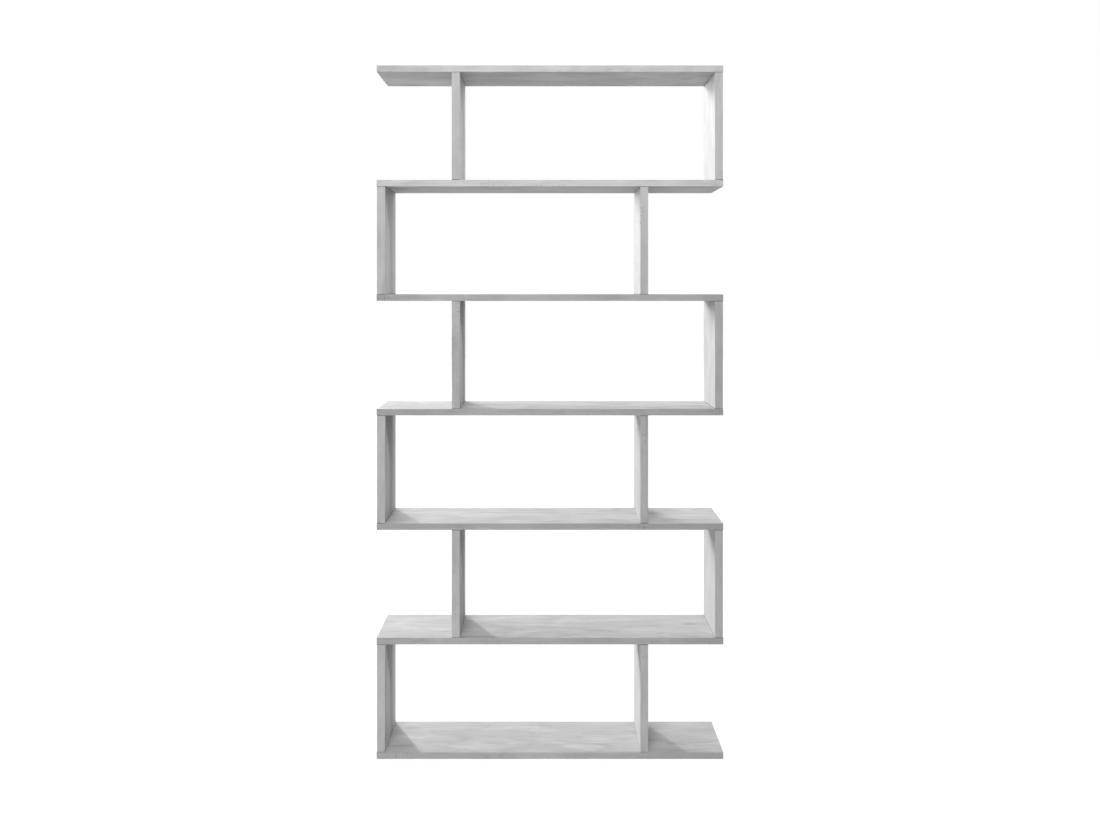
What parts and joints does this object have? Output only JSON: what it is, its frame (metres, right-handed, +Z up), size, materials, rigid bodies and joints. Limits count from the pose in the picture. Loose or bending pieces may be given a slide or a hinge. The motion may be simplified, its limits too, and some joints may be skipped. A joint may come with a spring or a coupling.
{
  "type": "zigzag bookcase",
  "caption": "Tall open bookcase: full-width shelves on uprights that swap sides from tier to tier, so that the compartments zigzag, with angle brackets on top to fix it to a wall.",
  "frame": {"origin": "on the floor, under the middle of the bottom shelf", "axes": "+Z up, +Y towards the back, which goes to the wall, +X to the right seen from the front"},
  "size_m": [0.96, 0.25, 1.945],
  "materials": {
    "board": "particle board faced with pale grey wood-grain melamine, satin",
    "edge_band": "edge band printed with the same pale grey wood grain, satin",
    "cam_zinc": "die-cast zinc, dull",
    "plated_steel": "zinc-plated steel, satin",
    "dowel_wood": "raw beech",
    "cover_plastic": "moulded plastic, matt, in the boards' grey"
  },
  "bodies": {
    "root": {"bottom_shelf": "board", "shelf_2": "board", "shelf_3": "board", "shelf_4": "board", "shelf_5": "board", "shelf_6": "board", "top_shelf": "board", "tier_1_outer_upright": "board", "tier_1_inner_upright": "board", "tier_2_outer_upright": "board", "tier_2_inner_upright": "board", "tier_3_outer_upright": "board", "tier_3_inner_upright": "board", "tier_4_outer_upright": "board", "tier_4_inner_upright": "board", "tier_5_outer_upright": "board", "tier_5_inner_upright": "board", "tier_6_outer_upright": "board", "tier_6_inner_upright": "board", "bottom_shelf_edge_bands": "edge_band", "shelf_2_edge_bands": "edge_band", "shelf_3_edge_bands": "edge_band", "shelf_4_edge_bands": "edge_band", "shelf_5_edge_bands": "edge_band", "shelf_6_edge_bands": "edge_band", "top_shelf_edge_bands": "edge_band", "tier_1_outer_upright_edge_bands": "edge_band", "tier_1_inner_upright_edge_bands": "edge_band", "tier_2_outer_upright_edge_bands": "edge_band", "tier_2_inner_upright_edge_bands": "edge_band", "tier_3_outer_upright_edge_bands": "edge_band", "tier_3_inner_upright_edge_bands": "edge_band", "tier_4_outer_upright_edge_bands": "edge_band", "tier_4_inner_upright_edge_bands": "edge_band", "tier_5_outer_upright_edge_bands": "edge_band", "tier_5_inner_upright_edge_bands": "edge_band", "tier_6_outer_upright_edge_bands": "edge_band", "tier_6_inner_upright_edge_bands": "edge_band", "tier_1_cam_locks": "cam_zinc", "tier_2_cam_locks": "cam_zinc", "tier_3_cam_locks": "cam_zinc", "tier_4_cam_locks": "cam_zinc", "tier_5_cam_locks": "cam_zinc", "tier_6_cam_locks": "cam_zinc", "tier_1_cam_bolts": "plated_steel", "tier_2_cam_bolts": "plated_steel", "tier_3_cam_bolts": "plated_steel", "tier_4_cam_bolts": "plated_steel", "tier_5_cam_bolts": "plated_steel", "tier_6_cam_bolts": "plated_steel", "tier_1_dowels": "dowel_wood", "tier_2_dowels": "dowel_wood", "tier_3_dowels": "dowel_wood", "tier_4_dowels": "dowel_wood", "tier_5_dowels": "dowel_wood", "tier_6_dowels": "dowel_wood", "cam_covers": "cover_plastic", "wall_brackets": "plated_steel", "bracket_screws": "plated_steel"}
  },
  "joints": []
}
